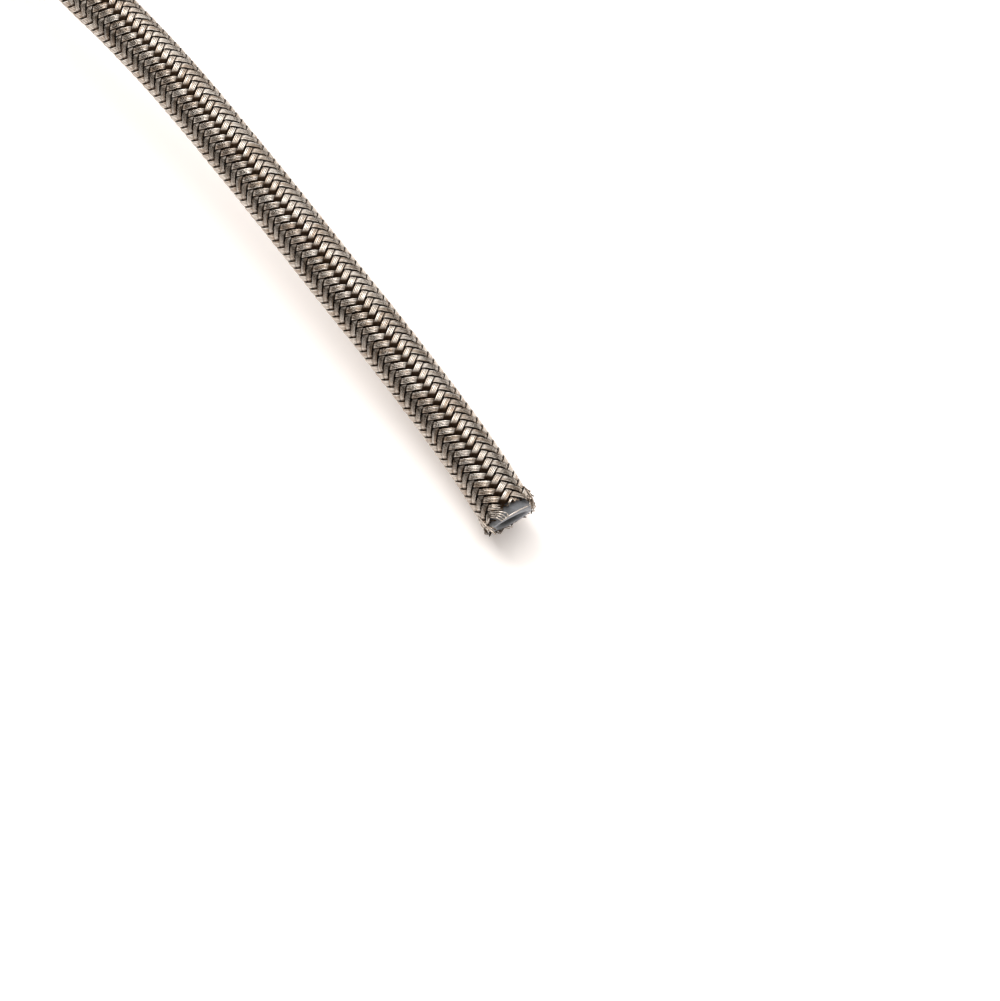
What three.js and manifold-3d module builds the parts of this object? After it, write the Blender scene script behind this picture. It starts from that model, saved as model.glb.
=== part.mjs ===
// A braided hose: a rubber liner with a through bore inside a sleeve of woven stainless wire.
// One raw cut end lies on the surface. From there the hose rises slowly to the top turn of its
// own coil, which holds the rest of its length.
// Millimetres, +Z up. The origin is on the surface, at the middle of the hose's outline.
import * as THREE from 'three';
import { mergeVertices } from 'three/addons/utils/BufferGeometryUtils.js';
import Module from 'manifold-3d';

const wasm = await Module();
wasm.setup();

// Driving sizes. The bore, the walls and the wires together set the hose's outside.
const hoseLength = 1500;
const boreDiameter = 8.7;
const linerWall = 1.7;
const wireDiameter = 0.36;
const wirePlay = 0.03;
const fitGap = 0.3;
const linerProud = 0.5;
const turnDiameter = 156;
const coilX = -11.3;
const coilY = 111.4;
const joinAngle = THREE.MathUtils.degToRad(177.9);
const straightLead = 8;
const climbPart = 0.4;
const leadShare = 0.3;

// How finely the round shapes are cut into flats
const tubeSides = 12;
const stepDiameters = 2;
const ringSteps = 64;
const climbSteps = 6;
const lobeAngles = [-45, 0, 45].map(THREE.MathUtils.degToRad);

// Sizes that follow: two crossing layers of wire make the braid's wall
const boreRadius = boreDiameter / 2;
const linerRadius = boreRadius + linerWall;
const braidInnerRadius = linerRadius + fitGap;
const hoseRadius = braidInnerRadius + 2 * wireDiameter + wirePlay;
const hoseDiameter = 2 * hoseRadius;
const turnRadius = turnDiameter / 2;
const turnSpacing = hoseDiameter + fitGap;

// The free stretch seen from above, from the cut end towards the coil
const freeRoute = [
  [90.7, -193.5],
  [82.8, -179.9],
  [74.1, -166.7],
  [65.1, -153.8],
  [55.8, -140.9],
  [46.4, -128.2],
  [37.1, -115.4],
  [27.7, -102.5],
  [18.2, -89.7],
  [8.7, -77.0],
  [-1.2, -64.5],
  [-11.6, -52.4],
  [-22.0, -41.0],
  [-32.4, -28.8],
  [-41.8, -16.5],
  [-50.4, -3.6],
  [-58.5, 10.2],
  [-65.6, 24.0],
  [-71.9, 38.2],
  [-77.5, 53.1],
  [-82.1, 67.9],
  [-85.8, 83.0],
  [-88.3, 98.0],
];

// Where the free stretch runs into the top turn, which it enters straight
const joinPoint = [
  coilX + turnRadius * Math.cos(joinAngle),
  coilY + turnRadius * Math.sin(joinAngle),
];
const leadPoint = [
  joinPoint[0] - straightLead * Math.sin(joinAngle),
  joinPoint[1] + straightLead * Math.cos(joinAngle),
];

// Share of the way from the surface up to the top turn. It is level at the coil, as a hose
// that leaves its coil droops, and steepest at the cut end.
const liftAt = (share) => share * (2 - share);

function distancesAlong(points) {
  const distances = [0];
  for (let i = 1; i < points.length; i += 1) {
    const [x, y] = points[i];
    const [fromX, fromY] = points[i - 1];
    distances.push(distances[i - 1] + Math.hypot(x - fromX, y - fromY));
  }
  return distances;
}

function freePath(topTurnHeight) {
  const points = [...freeRoute, leadPoint, joinPoint];
  const distances = distancesAlong(points);
  const wholeDistance = distances[distances.length - 1];
  const placed = points.map(([x, y], i) => {
    const lift = liftAt(distances[i] / wholeDistance);
    return new THREE.Vector3(x, y, hoseRadius + (topTurnHeight - hoseRadius) * lift);
  });
  return new THREE.CatmullRomCurve3(placed, false, 'centripetal');
}

// The coil takes the length that the free stretch leaves, one turn on another. Its top turn is
// only as long as what is left, and it never comes round to the free stretch: that lies a turn
// higher instead.
const flatLength = freePath(hoseRadius).getLength();
const turns = (hoseLength - flatLength) / (Math.PI * turnDiameter);
const layers = Math.ceil(turns + leadShare);
const topTurnShare = Math.max(turns - (layers - 1), 0);
const climbShare = climbPart * (1 - topTurnShare);
const turnHeight = (layer) => hoseRadius + layer * turnSpacing;
const topTurnHeight = turnHeight(layers - 1);
const route = freePath(topTurnHeight);
const routeSteps = Math.round(route.getLength() / (stepDiameters * hoseDiameter));

function solidOf(geometry) {
  const bare = geometry.clone();
  bare.deleteAttribute('normal');
  bare.deleteAttribute('uv');
  const joined = mergeVertices(bare);
  return new wasm.Manifold(new wasm.Mesh({
    numProp: 3,
    vertProperties: joined.attributes.position.array,
    triVerts: joined.index.array,
  }));
}

function geometryOf(solid) {
  const mesh = solid.getMesh();
  const geometry = new THREE.BufferGeometry();
  geometry.setAttribute('position', new THREE.BufferAttribute(mesh.vertProperties, 3));
  geometry.setIndex(new THREE.BufferAttribute(mesh.triVerts, 1));
  geometry.computeVertexNormals();
  return geometry;
}

function roundOutline(OutlineClass, radius) {
  const corners = Array.from({ length: tubeSides }, (_, i) => {
    const angle = (2 * Math.PI * i) / tubeSides;
    return new THREE.Vector2(radius * Math.cos(angle), radius * Math.sin(angle));
  });
  return new OutlineClass(corners);
}

// A tube along the whole free stretch, open at both ends
function tubeAlongRoute(outerRadius, innerRadius) {
  const section = roundOutline(THREE.Shape, outerRadius);
  section.holes.push(roundOutline(THREE.Path, innerRadius));
  return new THREE.ExtrudeGeometry(section, { steps: routeSteps, extrudePath: route });
}

// One side of the stacked turns' outline, from the bottom up: side is 1 outwards, -1 inwards
function stackedSide(side, count) {
  const points = [];
  for (let layer = 0; layer < count; layer += 1) {
    for (const angle of lobeAngles) {
      const x = turnRadius + side * hoseRadius * Math.cos(angle);
      points.push(new THREE.Vector2(x, turnHeight(layer) + hoseRadius * Math.sin(angle)));
    }
  }
  return points;
}

function stackedTurns(count) {
  const bottom = new THREE.Vector2(turnRadius, 0);
  const top = new THREE.Vector2(turnRadius, turnHeight(count - 1) + hoseRadius);
  const inside = stackedSide(-1, count).reverse();
  const outline = [bottom, ...stackedSide(1, count), top, ...inside, bottom.clone()];
  return solidOf(placeAtCoil(new THREE.LatheGeometry(outline, ringSteps)));
}

const angleAt = (share) => joinAngle - fitGap / turnRadius - share * 2 * Math.PI;

// The slice of the coil from the join round to a share of a turn
function turnSector(share) {
  const reach = 2 * turnRadius;
  const start = angleAt(0);
  const slice = new THREE.Shape();
  slice.moveTo(0, 0);
  slice.lineTo(reach * Math.cos(start), reach * Math.sin(start));
  slice.absarc(0, 0, reach, start, angleAt(share), true);
  slice.lineTo(0, 0);
  const height = topTurnHeight + 2 * hoseRadius;
  const sector = new THREE.ExtrudeGeometry(slice, { depth: height, bevelEnabled: false });
  sector.translate(coilX, coilY, -fitGap);
  return solidOf(sector);
}

// Past the top turn's share the hose comes down onto the turn below, over a part of the rest of
// the way round to the join
function climbToTopTurn() {
  const points = Array.from({ length: climbSteps + 1 }, (_, i) => {
    const share = i / climbSteps;
    const angle = angleAt(topTurnShare + share * climbShare);
    const height = topTurnHeight - turnSpacing * THREE.MathUtils.smoothstep(share, 0, 1);
    const x = coilX + turnRadius * Math.cos(angle);
    return new THREE.Vector3(x, coilY + turnRadius * Math.sin(angle), height);
  });
  const extrudePath = new THREE.CatmullRomCurve3(points, false, 'centripetal');
  const section = roundOutline(THREE.Shape, hoseRadius);
  const climb = solidOf(new THREE.ExtrudeGeometry(section, { steps: climbSteps, extrudePath }));
  return climb.intersect(turnSector(topTurnShare + climbShare));
}

// Full turns below, and the part turn and its climb on top of them
function coil() {
  const turnsBelow = stackedTurns(layers - 1).add(climbToTopTurn());
  if (topTurnShare === 0) return turnsBelow;
  return turnsBelow.add(stackedTurns(layers).intersect(turnSector(topTurnShare)));
}

// A lathe turns about Y, so it is stood up about Z and moved to the coil's middle
function placeAtCoil(geometry) {
  geometry.rotateX(Math.PI / 2);
  geometry.translate(coilX, coilY, 0);
  return geometry;
}

// The saw's waste at the cut end, which leaves the liner a little proud of the wires
function trimmedEnd() {
  const disc = new THREE.CylinderGeometry(hoseDiameter, hoseDiameter, 2 * linerProud, tubeSides);
  const along = route.getTangentAt(0);
  const turn = new THREE.Quaternion().setFromUnitVectors(new THREE.Vector3(0, 1, 0), along);
  disc.applyQuaternion(turn);
  const start = route.getPointAt(0);
  disc.translate(start.x, start.y, start.z);
  return disc;
}

const material = (color, roughness, metalness) => new THREE.MeshStandardMaterial({
  color,
  roughness,
  metalness,
});
const bareWire = material(0x9a9186, 0.35, 1);
const linerRubber = material(0x3a3c3e, 0.8, 0);

const hose = new THREE.Group();
hose.name = 'braided_hose';

function addPiece(name, geometry, finish) {
  const piece = new THREE.Mesh(geometry, finish);
  piece.name = name;
  hose.add(piece);
  return piece;
}

addPiece('hose_liner', tubeAlongRoute(linerRadius, boreRadius), linerRubber);

const braid = solidOf(tubeAlongRoute(hoseRadius, braidInnerRadius));
addPiece('wire_braid', geometryOf(braid.subtract(solidOf(trimmedEnd()))), bareWire);

addPiece('hose_coil', geometryOf(coil()), bareWire);

export default hose;
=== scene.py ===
import math
import random

import bmesh
import bpy
import numpy as np
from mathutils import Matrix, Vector


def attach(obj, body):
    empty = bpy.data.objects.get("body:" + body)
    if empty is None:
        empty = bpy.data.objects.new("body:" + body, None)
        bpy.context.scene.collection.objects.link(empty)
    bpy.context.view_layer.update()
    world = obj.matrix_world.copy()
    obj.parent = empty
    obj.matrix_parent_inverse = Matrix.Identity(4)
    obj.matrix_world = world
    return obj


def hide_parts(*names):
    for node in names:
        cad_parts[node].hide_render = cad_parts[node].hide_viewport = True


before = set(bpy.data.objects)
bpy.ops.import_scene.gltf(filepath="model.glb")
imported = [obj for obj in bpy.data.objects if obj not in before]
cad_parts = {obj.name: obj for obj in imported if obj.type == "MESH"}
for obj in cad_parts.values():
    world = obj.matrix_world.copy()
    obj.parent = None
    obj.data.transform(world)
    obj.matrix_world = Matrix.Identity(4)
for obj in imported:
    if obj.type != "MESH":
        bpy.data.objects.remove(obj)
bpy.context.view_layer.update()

print("frame loaded")

# The camera looks down on the raw end, from the photograph's side
view = {
    "elevation": 57.0,          # degrees above the floor
    "distance": 1.2,
    "focalPixels": 4779.0,
    "pictureWidth": 1000,       # pixels
    "sensorWidth": 36.0,        # millimetres
    "farLimit": 20.0,
    "target": (0.0879, -0.1832, 0.0),
}


def addCamera():
    lens = bpy.data.cameras.new("camera")
    lens.sensor_fit = "HORIZONTAL"
    lens.sensor_width = view["sensorWidth"]
    lens.lens = view["focalPixels"] * view["sensorWidth"] / view["pictureWidth"]
    lens.clip_end = view["farLimit"]
    camera = bpy.data.objects.new("camera", lens)
    tilt = math.radians(view["elevation"])
    back = Vector((0.0, -math.cos(tilt), math.sin(tilt)))
    camera.location = Vector(view["target"]) + back * view["distance"]
    camera.rotation_euler = back.to_track_quat("Z", "Y").to_euler()
    bpy.context.scene.collection.objects.link(camera)
    bpy.context.scene.camera = camera


addCamera()
print("camera set")

# The hose's own line, in metres: the free stretch is listed, the coil is worked out
hose = {
    "length": 1.5,
    "diameter": 0.0142,
    "bore": 0.0087,
    "liner": 0.0121,
    "wire": 0.00036,
    "turnDiameter": 0.156,
    "turnGap": 0.0003,
    "coilCentre": (-0.0113, 0.1114),
    "joinAngle": 177.9,         # degrees, where the free stretch meets the coil
    "straightLead": 0.008,      # how far before the coil the free stretch runs straight
    "pointsPerTurn": 24,
    "steps": 1500,              # of the finished line, evenly far apart
    "climbPart": 0.4,           # part of the way from the top turn's end to the join that climbs
}
freeRoute = [
    (0.0907, -0.1935), (0.0828, -0.1799), (0.0741, -0.1667), (0.0651, -0.1538),
    (0.0558, -0.1409), (0.0464, -0.1282), (0.0371, -0.1154), (0.0277, -0.1025),
    (0.0182, -0.0897), (0.0087, -0.0770), (-0.0012, -0.0645), (-0.0116, -0.0524),
    (-0.0220, -0.0410), (-0.0324, -0.0288), (-0.0418, -0.0165), (-0.0504, -0.0036),
    (-0.0585, 0.0102), (-0.0656, 0.0240), (-0.0719, 0.0382), (-0.0775, 0.0531),
    (-0.0821, 0.0679), (-0.0858, 0.0830), (-0.0883, 0.0980),
]
hoseRadius = hose["diameter"] / 2
linerRadius = hose["liner"] / 2
turnRadius = hose["turnDiameter"] / 2


def smoothstep(t):
    t = min(max(t, 0.0), 1.0)
    return t * t * (3 - 2 * t)


def turnPoint(turned):
    angle = math.radians(hose["joinAngle"]) - 2 * math.pi * turned
    x, y = hose["coilCentre"]
    return x + turnRadius * math.cos(angle), y + turnRadius * math.sin(angle)


def leadPoint():
    angle = math.radians(hose["joinAngle"])
    x, y = turnPoint(0)
    return x - hose["straightLead"] * math.sin(angle), y + hose["straightLead"] * math.cos(angle)


def stackHeight(turnsFromFarEnd, climbShare):
    # the hose lies level over most of a turn, then climbs onto the turn below
    layer = math.floor(turnsFromFarEnd)
    climb = (turnsFromFarEnd - layer - 1 + climbShare) / climbShare
    return hoseRadius + (hose["diameter"] + hose["turnGap"]) * (layer + smoothstep(climb))


def smoothLine(points, perSpan=16):
    # a centripetal line through the points, as evenly close as the points are
    points = np.array(points)
    ends = [2 * points[0] - points[1]], [2 * points[-1] - points[-2]]
    points = np.concatenate([ends[0], points, ends[1]])
    line = []
    for a, b, c, d in zip(points, points[1:], points[2:], points[3:]):
        ab, bc, cd = (math.sqrt(np.linalg.norm(q - p)) for p, q in ((a, b), (b, c), (c, d)))
        leave = ((b - a) / ab - (c - a) / (ab + bc) + (c - b) / bc) * bc
        arrive = ((c - b) / bc - (d - b) / (bc + cd) + (d - c) / cd) * bc
        for t in np.arange(perSpan) / perSpan:
            bend = 2 * b - 2 * c + leave + arrive
            sway = -3 * b + 3 * c - 2 * leave - arrive
            line.append(((bend * t + sway) * t + leave) * t + b)
    return np.array(line + [points[-2]])


def distances(line):
    return np.concatenate([[0.0], np.cumsum(np.linalg.norm(np.diff(line, axis=0), axis=1))])


def hoseLine():
    flat = np.array(freeRoute + [leadPoint(), turnPoint(0)])
    along = distances(flat)
    turns = (hose["length"] - distances(smoothLine(flat))[-1]) / (math.pi * hose["turnDiameter"])
    climbShare = hose["climbPart"] * (math.ceil(turns) - turns)
    topHeight = stackHeight(turns, climbShare)
    points = []
    for (x, y), share in zip(flat, along / along[-1]):
        lift = share * (2 - share)          # level at the coil, steepest at the raw end
        points.append((x, y, hoseRadius + (topHeight - hoseRadius) * lift))
    for step in range(1, math.ceil(turns * hose["pointsPerTurn"]) + 2):
        turned = step / hose["pointsPerTurn"]
        points.append((*turnPoint(turned), stackHeight(max(turns - turned, 0.0), climbShare)))
    line = smoothLine(points)
    along = distances(line)
    spots = np.linspace(0.0, hose["length"], hose["steps"] + 1)
    return np.stack([np.interp(spots, along, line[:, k]) for k in range(3)], axis=1), spots


centreLine, spots = hoseLine()
tangents = np.gradient(centreLine, axis=0)
tangents /= np.linalg.norm(tangents, axis=1)[:, None]
sides = np.cross(tangents, (0.0, 0.0, 1.0))
sides /= np.linalg.norm(sides, axis=1)[:, None]
ups = np.cross(sides, tangents)
print("route worked out")


def onHose(along, angle, radius):
    # points at a distance along the hose, an angle round it and a distance from its middle
    def at(values):
        return np.stack([np.interp(along, spots, values[:, k]) for k in range(3)], axis=1)

    beyond = np.minimum(along, 0.0)[:, None] * tangents[0]
    out = at(sides) * np.cos(angle)[:, None] + at(ups) * np.sin(angle)[:, None]
    return at(centreLine) + beyond + out * radius[:, None]


# Materials
metal = {
    "dull": (0.345, 0.26, 0.19, 1.0),
    "bright": (0.67, 0.63, 0.58, 1.0),
    "shadeAndOil": (0.052, 0.031, 0.018, 1.0),        # painted shade where the strands dive, with some oil and dust
    "shadeAndOilFrom": -0.25,         # weave height below which all is painted shade and oil
    "litAndCleanFrom": 0.65,          # and above which none is
    "roughness": 0.23,
    "shadeAndOilRoughness": 0.45,
    "cloudScale": 700.0,
    "cloudDetail": 3.0,
    "wireShare": 0.6,           # of a wire's own tone, which is added to the cloud's
    "toneFrom": 0.3,
    "toneTo": 1.2,
}
rubber = {
    "shadedUnderWires": (0.012, 0.009, 0.007, 1.0),         # painted shade, where the liner lies under the wires
    "dark": (0.20, 0.21, 0.23, 1.0),
    "dusty": (0.55, 0.58, 0.63, 1.0),
    "roughness": 0.55,
    "grain": 0.0002,
    "cloudScale": 650.0,
    "cloudDetail": 5.0,
}


def newMaterial(name):
    material = bpy.data.materials.new(name)
    material.use_nodes = True
    nodes = material.node_tree.nodes
    return material, nodes, material.node_tree.links, nodes["Principled BSDF"]


def wireMaterial():
    material, nodes, links, surface = newMaterial("bareWire")
    surface.inputs["Metallic"].default_value = 1.0
    place = nodes.new("ShaderNodeTexCoord")
    cloud = nodes.new("ShaderNodeTexNoise")
    cloud.inputs["Scale"].default_value = metal["cloudScale"]
    cloud.inputs["Detail"].default_value = metal["cloudDetail"]
    links.new(place.outputs["Object"], cloud.inputs["Vector"])
    wireTone = nodes.new("ShaderNodeAttribute")
    wireTone.attribute_name = "wireTone"
    total = nodes.new("ShaderNodeMath")
    total.operation = "MULTIPLY_ADD"
    total.inputs[1].default_value = metal["wireShare"]
    links.new(wireTone.outputs["Fac"], total.inputs[0])
    links.new(cloud.outputs["Fac"], total.inputs[2])
    tone = nodes.new("ShaderNodeMapRange")
    tone.inputs["From Min"].default_value = metal["toneFrom"]
    tone.inputs["From Max"].default_value = metal["toneTo"]
    links.new(total.outputs[0], tone.inputs["Value"])
    litAndClean = nodes.new("ShaderNodeMix")
    litAndClean.data_type = "RGBA"
    links.new(tone.outputs["Result"], litAndClean.inputs["Factor"])
    litAndClean.inputs["A"].default_value = metal["dull"]
    litAndClean.inputs["B"].default_value = metal["bright"]
    # the lower the weave height, the more painted shade, with some oil, where the strands dive
    height = nodes.new("ShaderNodeAttribute")
    height.attribute_name = "weaveHeight"
    bare = nodes.new("ShaderNodeMapRange")
    bare.interpolation_type = "SMOOTHSTEP"
    bare.inputs["From Min"].default_value = metal["shadeAndOilFrom"]
    bare.inputs["From Max"].default_value = metal["litAndCleanFrom"]
    links.new(height.outputs["Fac"], bare.inputs["Value"])
    shadedAndOiled = nodes.new("ShaderNodeMix")
    shadedAndOiled.data_type = "RGBA"
    links.new(bare.outputs["Result"], shadedAndOiled.inputs["Factor"])
    shadedAndOiled.inputs["A"].default_value = metal["shadeAndOil"]
    links.new(litAndClean.outputs["Result"], shadedAndOiled.inputs["B"])
    links.new(shadedAndOiled.outputs["Result"], surface.inputs["Base Color"])
    gloss = nodes.new("ShaderNodeMapRange")
    gloss.inputs["To Min"].default_value = metal["shadeAndOilRoughness"]
    gloss.inputs["To Max"].default_value = metal["roughness"]
    links.new(bare.outputs["Result"], gloss.inputs["Value"])
    links.new(gloss.outputs["Result"], surface.inputs["Roughness"])
    return material


def rubberMaterial():
    material, nodes, links, surface = newMaterial("linerRubber")
    place = nodes.new("ShaderNodeTexCoord")
    cloud = nodes.new("ShaderNodeTexNoise")
    cloud.inputs["Scale"].default_value = rubber["cloudScale"]
    cloud.inputs["Detail"].default_value = rubber["cloudDetail"]
    links.new(place.outputs["Object"], cloud.inputs["Vector"])
    tone = nodes.new("ShaderNodeMix")
    tone.data_type = "RGBA"
    links.new(cloud.outputs["Fac"], tone.inputs["Factor"])
    tone.inputs["A"].default_value = rubber["dark"]
    tone.inputs["B"].default_value = rubber["dusty"]
    bare = nodes.new("ShaderNodeAttribute")
    bare.attribute_name = "bareRubber"
    shown = nodes.new("ShaderNodeMix")
    shown.data_type = "RGBA"
    # away from the cut the liner is painted near black as shade under the wires
    links.new(bare.outputs["Fac"], shown.inputs["Factor"])
    shown.inputs["A"].default_value = rubber["shadedUnderWires"]
    links.new(tone.outputs["Result"], shown.inputs["B"])
    links.new(shown.outputs["Result"], surface.inputs["Base Color"])
    surface.inputs["Roughness"].default_value = rubber["roughness"]
    grain = nodes.new("ShaderNodeBump")
    grain.inputs["Distance"].default_value = rubber["grain"]
    links.new(cloud.outputs["Fac"], grain.inputs["Height"])
    links.new(grain.outputs["Normal"], surface.inputs["Normal"])
    return material


bareWire = wireMaterial()
linerRubber = rubberMaterial()
print("materials made")


def sweepLines(name, lines, radius, resolution):
    # round bars along the lines, open at their ends, their points ring by ring
    curve = bpy.data.curves.new(name, "CURVE")
    curve.dimensions = "3D"
    curve.bevel_depth = radius
    curve.bevel_resolution = resolution
    for line in lines:
        spline = curve.splines.new("POLY")
        spline.points.add(len(line) - 1)
        spline.points.foreach_set("co", np.c_[line, np.ones(len(line))].ravel())
    shape = bpy.data.objects.new(name, curve)
    bpy.context.scene.collection.objects.link(shape)
    bpy.context.view_layer.update()
    mesh = bpy.data.meshes.new_from_object(shape)
    bpy.data.objects.remove(shape)
    mesh.materials.clear()
    return mesh


def closeEnds(mesh):
    shape = bmesh.new()
    shape.from_mesh(mesh)
    bmesh.ops.holes_fill(shape, edges=[edge for edge in shape.edges if edge.is_boundary], sides=0)
    for face in shape.faces:
        face.smooth = len(face.verts) < 5
    shape.to_mesh(mesh)
    shape.free()


def addPiece(name, mesh, material):
    mesh.materials.append(material)
    piece = bpy.data.objects.new(name, mesh)
    bpy.context.scene.collection.objects.link(piece)
    return piece


def setAttribute(mesh, name, values):
    layer = mesh.attributes.new(name, "FLOAT", "POINT")
    layer.data.foreach_set("value", np.asarray(values, dtype=np.float32))


# The raw end. Round the hose from the side that faces the camera: how short of the end the
# strands stop, and how much they lift off there, in metres
fray = {
    "slant": 10.0,              # degrees that the liner's cut leans
    "facing": 107.0,            # degrees round the hose where it faces the camera
    "across": (-180, -120, -80, -50, -25, 0, 30, 55, 75, 110, 180),
    "stopShort": (0.0013, 0.0009, 0.0002, 0.0002, 0.0009, 0.0014, 0.0018, 0.0015, 0.0006,
                  0.0008, 0.0013),
    "lift": (0.0002, 0.0004, 0.0007, 0.0003, 0.0002, 0.0002, 0.0002, 0.0003, 0.0007, 0.0006,
             0.0002),
    "sway": 5.0,                # degrees, at most, that a wire strays round the hose
    "scatter": 0.0007,
    "reach": 0.004,             # how far from the end the wires have come loose
}

# Single wires that have sprung out: how brightly each is painted, where the low values are painted
# shade, then its places as millimetres along the hose, degrees round it and millimetres from its
# middle
sprungWires = [
    (0.9, (2.52, 137.4, 6.9), (1.30, 122.3, 7.3), (0.22, 112.8, 7.4), (-0.51, 107.7, 7.0),
     (-0.97, 108.7, 6.4)),
    (0.9, (2.27, 140.7, 6.9), (1.05, 126.2, 7.3), (-0.15, 116.9, 7.4), (-0.92, 113.6, 6.9),
     (-1.22, 115.7, 6.3)),
    (0.9, (1.92, 143.1, 6.9), (0.63, 128.4, 7.3), (-0.45, 121.1, 7.3), (-1.14, 119.3, 6.7)),
    (0.9, (1.48, 144.4, 6.9), (0.26, 131.0, 7.2), (-0.70, 126.3, 7.0), (-1.13, 126.2, 6.4)),
    (0.2, (5.84, 17.2, 7.0), (3.21, 23.8, 7.3), (0.74, 31.3, 7.4), (-2.19, 50.2, 7.2)),
    (0.1, (4.96, 17.2, 6.9), (2.46, 22.6, 7.1), (-0.10, 39.5, 7.1), (-1.74, 50.6, 6.8)),
    (0.4, (3.86, 24.2, 6.8), (1.67, 34.3, 6.9), (-0.45, 45.7, 6.7)),
    (0.1, (5.32, 34.2, 7.0), (4.31, 17.3, 7.4), (3.43, 25.1, 7.8)),
    (0.1, (5.18, 17.2, 7.1), (3.00, 17.3, 7.5), (1.59, 29.8, 8.0)),
    (0.4, (4.57, 176.1, 7.0), (1.11, 165.5, 7.3), (-0.91, 159.8, 7.3), (-2.86, 153.7, 7.2)),
    (0.6, (3.49, 178.5, 7.0), (1.25, 171.1, 7.3), (-0.96, 164.2, 7.4)),
    (0.5, (3.36, 172.8, 6.9), (0.52, 162.4, 7.2), (-1.03, 155.7, 7.0), (-2.28, 156.2, 6.8)),
    (0.2, (2.31, 167.4, 6.8), (0.40, 161.8, 7.0), (-0.97, 153.3, 6.8), (-1.77, 152.3, 6.4)),
    (0.7, (3.76, 181.9, 7.1), (1.55, 175.3, 7.6), (0.31, 167.4, 8.0)),
    (0.9, (-0.9, 128.0, 6.25), (-1.05, 100.0, 6.25), (-0.85, 75.0, 6.25), (-0.4, 50.0, 6.3)),
]


# The liner: one rubber tube along the whole hose, open at both ends
liner = {
    "everyStep": 3,             # of the hose's line
    "resolution": 12,
    "endReach": 0.0001,         # how near the cut a point belongs to it
}


def linerTube():
    line = centreLine[::liner["everyStep"]]
    mesh = sweepLines("hoseCore", [line], linerRadius, liner["resolution"])
    axis, up, middle = (Vector(vectors[0]) for vectors in (tangents, ups, centreLine))
    bare = []
    for vertex in mesh.vertices:
        out = vertex.co - middle
        atEnd = abs(out.dot(axis)) < liner["endReach"]
        if atEnd:           # the cut leans back a little towards the floor
            vertex.co -= axis * out.dot(up) * math.tan(math.radians(fray["slant"]))
        bare.append(float(atEnd))
    # only the cut shows the rubber's own tone; the rest of the liner is painted as shade under the
    # wires
    setAttribute(mesh, "bareRubber", bare)
    tube = addPiece("hoseCore", mesh, linerRubber)
    wall = tube.modifiers.new("wall", "SOLIDIFY")
    wall.thickness = linerRadius - hose["bore"] / 2
    wall.offset = -1.0
    return tube


# The braid: each strand runs over two and under two. Near the raw end it is made wire by wire
braid = {
    "wovenLength": 0.21,        # how far the single wires go
    "strandsEachWay": 12,
    "wiresPerStrand": 4,
    "pitch": 0.00242,           # from one strand to the next, along the hose
    "wireStep": 0.187,          # from wire to wire, as a share of the pitch
    "bandTurn": -6.0,           # degrees that the weave is turned round the hose
    "start": -0.19,             # where the weave starts, as a share of the pitch
    "stations": (0.0, 0.5, 0.625, 0.875),       # where a wire's points are, as shares of a step
    "endGap": 0.02,             # least step from a strand's end to a station
    "wireResolution": 1,
    "sprungSpan": 4,            # steps from one place of a sprung wire to the next
    "shoulder": 0.8,            # height of the first and last station of a float
    "cameraSideDarkening": 0.25,        # how much sooner the strands that wind left turn dark where they face the camera: a painted dark reflection
    "depth": 0.00029,           # half of the way from the lowest to the highest wire
}
topWireRadius = hoseRadius - hose["wire"] / 2


def weaveHeight(argument):
    # plus one where the strand floats on top, minus one where it dives
    high = braid["shoulder"]
    marks = (-0.125, 0, 0.5, 0.625, 0.875, 1, 1.5, 1.625, 1.875)
    heights = (high, 1, 1, high, -high, -1, -1, -high, high)
    return np.interp((argument - marks[0]) % 2.0 + marks[0], marks, heights)


def strandLines(lay, strand, offsets, start, stop, stations):
    # lines side by side along one strand, with as many points each: lay is 1 for the strands
    # that wind to the right and -1 for those that wind to the left
    offsets = np.asarray(offsets)[:, None]
    shift = lay * offsets / 2
    offsets = offsets + braid["start"]
    ends = [lay * (spot / braid["pitch"] - offsets) + strand for spot in (start, stop)]
    low, high = np.minimum(*ends), np.maximum(*ends)
    whole = np.arange(math.floor(low.min()) - 1, math.ceil(high.max()) + 2)
    marks = np.sort(np.concatenate([whole + station for station in stations]))
    around = marks - shift
    inside = ((around > low + braid["endGap"]) & (around < high - braid["endGap"])).all(axis=0)
    around = np.concatenate([low, around[:, inside], high], axis=1)[:, ::lay]
    along = ((around - strand) * lay + offsets) * braid["pitch"]
    angle = 2 * math.pi * around / braid["strandsEachWay"] + math.radians(braid["bandTurn"])
    argument = around + shift
    height = lay * weaveHeight(argument)
    # the same height also paints shade, with some oil, where the strands dive
    litAndClean = height
    if lay < 0:         # these strands are painted darker where they face the camera: a painted dark reflection
        facingCamera = np.clip(np.cos(angle - math.radians(fray["facing"])), 0, 1) ** 2
        litAndClean = np.minimum(height, lay * weaveHeight(argument + braid["cameraSideDarkening"] * facingCamera))
    return along, angle, height, litAndClean


def frayedEnd(lay, strand, count):
    # for each wire of a strand: where it stops, how far it lifts and how far it strays
    turned = 360 / braid["strandsEachWay"] * (strand - lay * braid["start"]) + braid["bandTurn"]
    across = (fray["facing"] - turned + 180) % 360 - 180
    starts = np.interp(across, fray["across"], fray["stopShort"])
    lifts = np.interp(across, fray["across"], fray["lift"])
    scatter = np.array([[draw.uniform(-1, 1) for _ in range(3)] for _ in range(count)]).T
    return starts + scatter[0] * fray["scatter"], lifts * (1 + scatter[1]), scatter[2] * fray["sway"]


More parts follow.
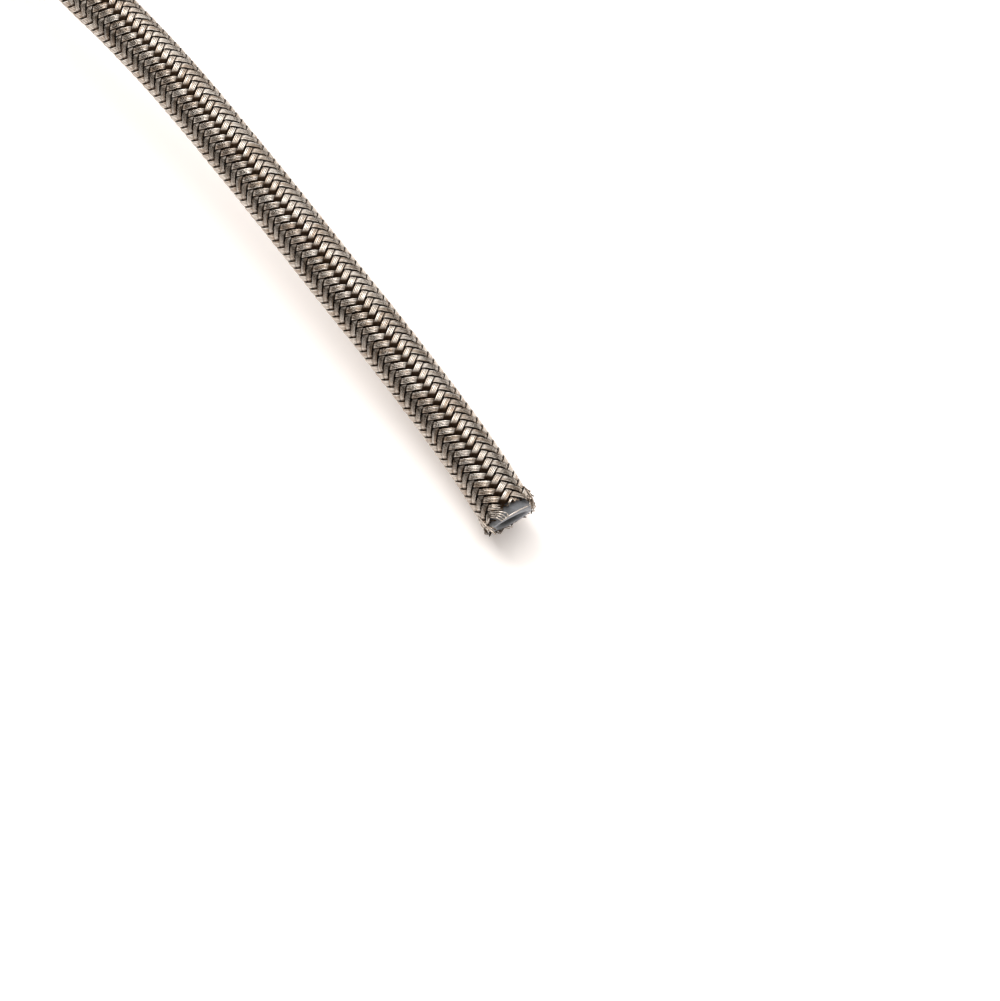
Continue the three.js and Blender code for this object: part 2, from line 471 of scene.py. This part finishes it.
def sprungBraidWires():
    lines, paintedBrightness = [], []
    for litAndClean, *places in sprungWires:
        along, angle, radius = np.array(places).T
        points = onHose(along / 1000, np.radians(angle), radius / 1000)
        line = smoothLine(points, braid["sprungSpan"])
        lines.append(line)
        paintedBrightness.append(np.full(len(line), litAndClean))
    mesh = sweepLines("sprungWires", lines, hose["wire"] / 2, braid["wireResolution"])
    sides = len(mesh.vertices) // sum(len(line) for line in lines)
    # the low values paint shade on these wires
    setAttribute(mesh, "weaveHeight", np.repeat(np.concatenate(paintedBrightness), sides))
    setAttribute(mesh, "wireTone", np.repeat(np.concatenate(paintedBrightness), sides))
    closeEnds(mesh)
    return addPiece("sprungWires", mesh, bareWire)


def wireBraid(stop):
    pieces = []
    half = braid["strandsEachWay"] // 2
    wires = np.arange(braid["wiresPerStrand"])
    offsets = (wires - wires.mean()) * braid["wireStep"]
    for lay, layName in ((1, "Right"), (-1, "Left")):
        for part, strands in enumerate((range(half), range(half, 2 * half))):
            lines, heights, tones = [], [], []
            for strand in strands:
                starts, lifts, strays = frayedEnd(lay, strand, len(wires))
                along, angle, height, litAndClean = strandLines(lay, strand, offsets, starts[:, None],
                                                          stop, braid["stations"])
                for wire in wires:
                    loose = np.clip(1 - along[wire] / fray["reach"], 0, None) ** 2
                    radius = topWireRadius - braid["depth"] * (1 - height[wire])
                    radius += lifts[wire] * loose
                    turned = angle[wire] + math.radians(strays[wire]) * loose
                    lines.append(onHose(along[wire], turned, radius))
                    heights.append(litAndClean[wire])
                    tones.append(np.full(len(radius), draw.random()))
            name = "wires" + layName + "AB"[part]
            mesh = sweepLines(name, lines, hose["wire"] / 2, braid["wireResolution"])
            sides = len(mesh.vertices) // sum(len(line) for line in lines)
            setAttribute(mesh, "weaveHeight", np.repeat(np.concatenate(heights), sides))
            setAttribute(mesh, "wireTone", np.repeat(np.concatenate(tones), sides))
            closeEnds(mesh)
            pieces.append(addPiece(name, mesh, bareWire))
    return pieces


# Past the woven wires each strand is one bar with a ridge for each of its four wires. Its section
# is given by places across the strand, as shares of the pitch, and depths in metres
ribbon = {
    "stations": (0.0, 0.5),
    "section": ((-0.374, 0.00018), (-0.28, 0.0), (-0.187, 0.00013), (-0.0935, 0.0), (0.0, 0.00013),
                (0.0935, 0.0), (0.187, 0.00013), (0.28, 0.0), (0.374, 0.00018), (0.0, 0.00036)),
    "mergeWithin": 1e-7,
    "tone": 0.5,                # between the dullest wires and the brightest
}


def ribbonBraid(start, stop):
    pieces = []
    half = braid["strandsEachWay"] // 2
    offsets, depths = np.array(ribbon["section"]).T
    loop = [*range(len(offsets)), 0]
    for lay, layName in ((1, "Right"), (-1, "Left")):
        for part, strands in enumerate((range(half), range(half, 2 * half))):
            shape = bmesh.new()
            places, heights = [], []
            for strand in strands:
                along, angle, height, litAndClean = strandLines(lay, strand, offsets, start, stop,
                                                          ribbon["stations"])
                radius = hoseRadius - braid["depth"] * (1 - height) - depths[:, None]
                rings = [onHose(along[k], angle[k], radius[k]) for k in loop]
                bmesh.ops.create_grid(shape, x_segments=len(rings[0]) - 1,
                                      y_segments=len(offsets), size=1)
                places.append(np.array(rings).reshape(-1, 3))
                heights.append(litAndClean[loop].ravel())
            mesh = bpy.data.meshes.new("ribbons" + layName + "AB"[part])
            shape.to_mesh(mesh)
            shape.free()
            mesh.vertices.foreach_set("co", np.concatenate(places).ravel())
            setAttribute(mesh, "weaveHeight", np.concatenate(heights))
            setAttribute(mesh, "wireTone", np.full(len(mesh.vertices), ribbon["tone"]))
            shape = bmesh.new()
            shape.from_mesh(mesh)
            bmesh.ops.remove_doubles(shape, verts=shape.verts, dist=ribbon["mergeWithin"])
            bmesh.ops.holes_fill(shape, edges=shape.edges, sides=0)
            bmesh.ops.recalc_face_normals(shape, faces=shape.faces)
            for face in shape.faces:
                face.smooth = True
            shape.to_mesh(mesh)
            shape.free()
            pieces.append(addPiece(mesh.name, mesh, bareWire))
    return pieces


draw = random.Random(4)
hoseCore = linerTube()
print("liner made")
wires = wireBraid(braid["wovenLength"]) + [sprungBraidWires()]
print("wire braid made")
ribbons = ribbonBraid(braid["wovenLength"], hose["length"])
print("coil's braid made")

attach(hoseCore, "root")
for piece in wires + ribbons:
    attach(piece, "root")
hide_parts("hose_liner", "hose_coil")
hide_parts("wire_braid")

# Studio: a white floor in a dark room, with soft boxes above and behind the hose. Bearings are
# degrees clockwise from straight behind it.
studio = {
    "aim": (0.03, -0.1, 0.0),
    "floorSize": 6.0,
    "floorColour": (0.93, 0.91, 0.90, 1.0),
    "floorGlow": (0.31, 0.28, 0.26, 1.0),       # what the floor shows where no lamp reaches it
    "floorRoughness": 0.9,
    "floorSheen": 0.1,
    "room": (0.042, 0.033, 0.025, 1.0),
}
softBoxes = {
    "topBox": {"bearing": -36, "elevation": 51, "distance": 1.5, "size": (1.0, 0.8), "power": 17,
               "colour": (1.0, 0.98, 0.96)},
    "overBox": {"bearing": 30, "elevation": 74, "distance": 1.5, "size": (2.2, 2.2), "power": 30,
                "colour": (1.0, 0.98, 0.96)},
    "backBox": {"bearing": 10, "elevation": 20, "distance": 1.6, "size": (1.6, 0.7), "power": 8.5,
                "colour": (1.0, 0.98, 0.96)},
    "sideBox": {"bearing": 60, "elevation": 12, "distance": 1.5, "size": (0.7, 0.5), "power": 2.2,
                "colour": (1.0, 0.98, 0.96)},
}


def addFloor():
    mesh = bpy.data.meshes.new("floor")
    shape = bmesh.new()
    bmesh.ops.create_grid(shape, x_segments=1, y_segments=1, size=studio["floorSize"] / 2)
    shape.to_mesh(mesh)
    shape.free()
    floor = bpy.data.objects.new("floor", mesh)
    bpy.context.scene.collection.objects.link(floor)
    material, nodes, links, surface = newMaterial("floorPaper")
    surface.inputs["Base Color"].default_value = studio["floorColour"]
    surface.inputs["Roughness"].default_value = studio["floorRoughness"]
    surface.inputs["Specular IOR Level"].default_value = studio["floorSheen"]
    # the camera, metal and glass see the paper glow, which makes it white but keeps the shadow
    rays = nodes.new("ShaderNodeLightPath")
    total = rays.outputs["Is Camera Ray"]
    for name in ("Is Glossy Ray", "Is Transmission Ray"):
        either = nodes.new("ShaderNodeMath")
        either.operation = "MAXIMUM"
        links.new(total, either.inputs[0])
        links.new(rays.outputs[name], either.inputs[1])
        total = either.outputs[0]
    glow = nodes.new("ShaderNodeEmission")
    glow.inputs["Color"].default_value = studio["floorGlow"]
    links.new(total, glow.inputs["Strength"])
    both = nodes.new("ShaderNodeAddShader")
    links.new(surface.outputs[0], both.inputs[0])
    links.new(glow.outputs[0], both.inputs[1])
    links.new(both.outputs[0], nodes["Material Output"].inputs["Surface"])
    mesh.materials.append(material)


def addSoftBox(name, box):
    bearing, elevation = math.radians(box["bearing"]), math.radians(box["elevation"])
    out = Vector((math.sin(bearing) * math.cos(elevation), math.cos(bearing) * math.cos(elevation),
                  math.sin(elevation)))
    lamp = bpy.data.lights.new(name, "AREA")
    lamp.shape = "RECTANGLE"
    lamp.size, lamp.size_y = box["size"]
    lamp.energy = box["power"]
    lamp.color = box["colour"]
    light = bpy.data.objects.new(name, lamp)
    light.location = Vector(studio["aim"]) + out * box["distance"]
    light.rotation_euler = out.to_track_quat("Z", "Y").to_euler()
    bpy.context.scene.collection.objects.link(light)


def addWorld():
    world = bpy.data.worlds.new("studio")
    world.use_nodes = True
    world.node_tree.nodes["Background"].inputs["Color"].default_value = studio["room"]
    bpy.context.scene.world = world


addFloor()
for name, box in softBoxes.items():
    addSoftBox(name, box)
addWorld()
bpy.context.scene.view_settings.view_transform = "Standard"
print("studio made")
